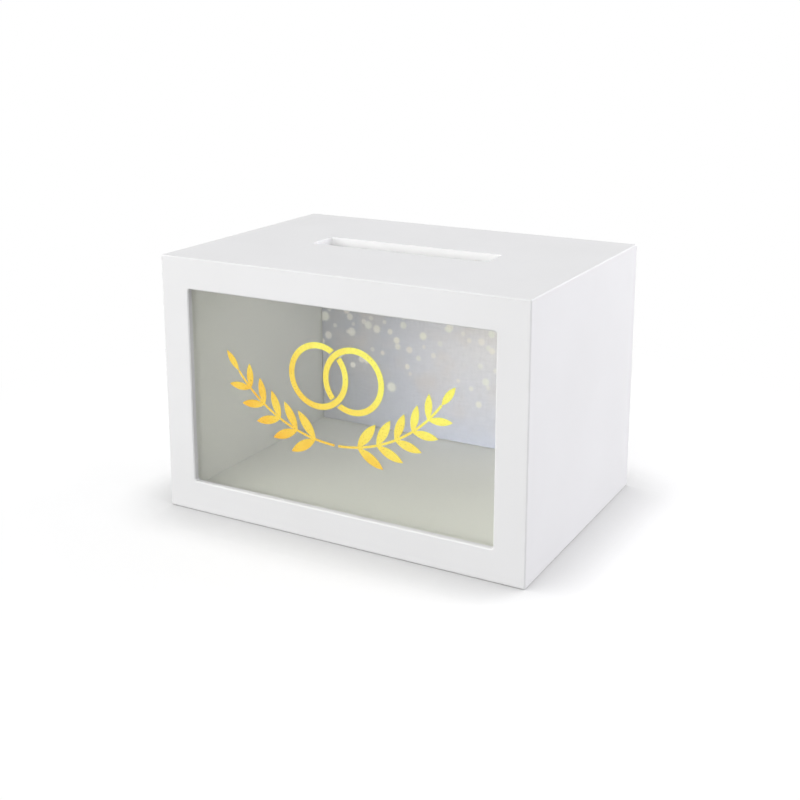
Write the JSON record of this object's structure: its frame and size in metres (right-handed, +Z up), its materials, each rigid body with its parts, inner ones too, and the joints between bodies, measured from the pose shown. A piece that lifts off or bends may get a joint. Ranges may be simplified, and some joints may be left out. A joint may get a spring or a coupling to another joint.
{
  "type": "wedding card box",
  "caption": "White board box for wedding cards, with a card slot on top, a glazed front frame bearing a gold foil ornament, and a hinged rear door faced with a printed backdrop.",
  "frame": {"origin": "middle of the box's footprint on the surface that it stands on", "axes": "+Z up, the glazed front faces -Y, +X to the right of someone who faces the front"},
  "size_m": [0.3, 0.2137, 0.2],
  "materials": {
    "white_board": "satin white paint on fibreboard",
    "glass": "clear float glass",
    "foam_tape": "white foam tape",
    "gold_foil": "gold metallised foil",
    "nickel": "nickel-plated magnet",
    "hinge_brass": "satin brass",
    "printed_card": "matt printed card",
    "steel": "zinc-plated steel"
  },
  "bodies": {
    "box": {"top_panel": "white_board", "bottom_panel": "white_board", "left_side_panel": "white_board", "right_side_panel": "white_board", "front_frame": "white_board", "glass_pane": "glass", "glazing_tape": "foam_tape", "foil_ornament": "gold_foil", "upper_door_stop": "white_board", "lower_door_stop": "white_board", "stop_magnets": "nickel", "upper_hinge_side_leaf": "hinge_brass", "lower_hinge_side_leaf": "hinge_brass", "upper_hinge_pin": "hinge_brass", "lower_hinge_pin": "hinge_brass", "side_leaf_screws": "hinge_brass"},
    "door": {"rear_door": "white_board", "backdrop_print": "printed_card", "strike_discs": "steel", "upper_hinge_door_leaf": "hinge_brass", "lower_hinge_door_leaf": "hinge_brass", "door_leaf_screws": "hinge_brass"}
  },
  "joints": [
    {"name": "rear_door_swing", "type": "hinge", "parent": "box", "child": "door", "pos_m": [-0.1375, 0.107, 0.1], "axis": [0, 0, 1], "range_deg": [0, 180]}
  ]
}
